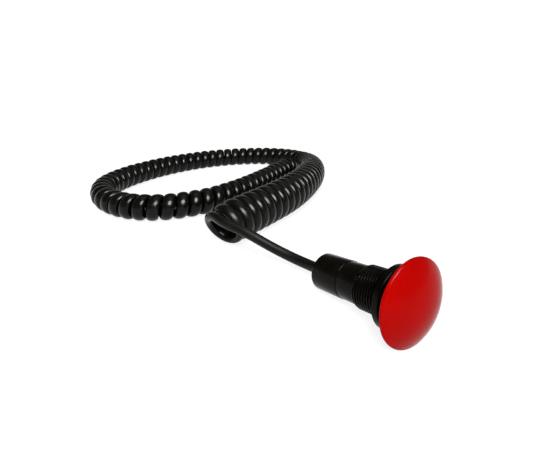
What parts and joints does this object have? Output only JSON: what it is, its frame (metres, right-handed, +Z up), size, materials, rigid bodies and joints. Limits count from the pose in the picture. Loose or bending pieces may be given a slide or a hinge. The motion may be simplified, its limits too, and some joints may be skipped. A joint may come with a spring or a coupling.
{
  "type": "pendant push button",
  "caption": "Panel push button with a red mushroom cap on a threaded barrel, a sealed contact housing behind it and a long curly cord that lies in a ring",
  "frame": {"origin": "on the table, under the middle of the button's own box, cord left out", "axes": "+X along the button from the cord's exit towards the cap, which rises 10.7 degrees as the button lies on its rim; +Z up from the table"},
  "size_m": [0.3666, 0.2533, 0.0393],
  "materials": {
    "cap_red": "smooth moulded red plastic",
    "barrel_black": "smooth moulded black plastic",
    "housing_black": "smooth moulded black plastic",
    "gasket_rubber": "smooth black rubber",
    "bush_plastic": "natural white plastic",
    "stem_plastic": "dark grey plastic",
    "base_plastic": "moulded insulating plastic",
    "spring_steel": "drawn spring steel",
    "contact_brass": "stamped brass strip",
    "screw_steel": "zinc plated steel",
    "cord_black": "glossy extruded black sheath",
    "core_brown": "smooth brown insulation",
    "core_blue": "smooth blue insulation",
    "ferrule_tin": "tinned copper sleeve"
  },
  "bodies": {
    "body": {"return_spring": "spring_steel", "bezel": "barrel_black", "threaded_barrel": "barrel_black", "panel_gasket": "gasket_rubber", "guide_bush": "bush_plastic", "stem_seal": "gasket_rubber", "contact_housing": "housing_black", "contact_base": "base_plastic", "fixed_contact_left": "contact_brass", "fixed_contact_right": "contact_brass", "bridge_spring": "spring_steel", "terminal_screws": "screw_steel", "core_brown": "core_brown", "core_blue": "core_blue", "rear_cap": "housing_black", "cap_seal_ring": "gasket_rubber", "cord_grommet": "gasket_rubber", "cord_clamp": "base_plastic", "sheath_end": "cord_black", "cord_lead": "cord_black", "cord_coil": "cord_black", "cord_tail": "cord_black", "tail_core_brown": "core_brown", "tail_core_blue": "core_blue", "core_ferrules": "ferrule_tin"},
    "plunger": {"mushroom_cap": "cap_red", "plunger_stem": "stem_plastic", "retaining_clip": "spring_steel", "contact_bridge": "contact_brass"}
  },
  "joints": [
    {"name": "push", "type": "slide", "parent": "body", "child": "plunger", "axis": [-0.9825, 0, -0.1861], "range_m": [0, 0.004], "stiffness_N_per_m": 1500, "springref_m": -0.002, "deforming": ["return_spring", "bridge_spring"]}
  ]
}
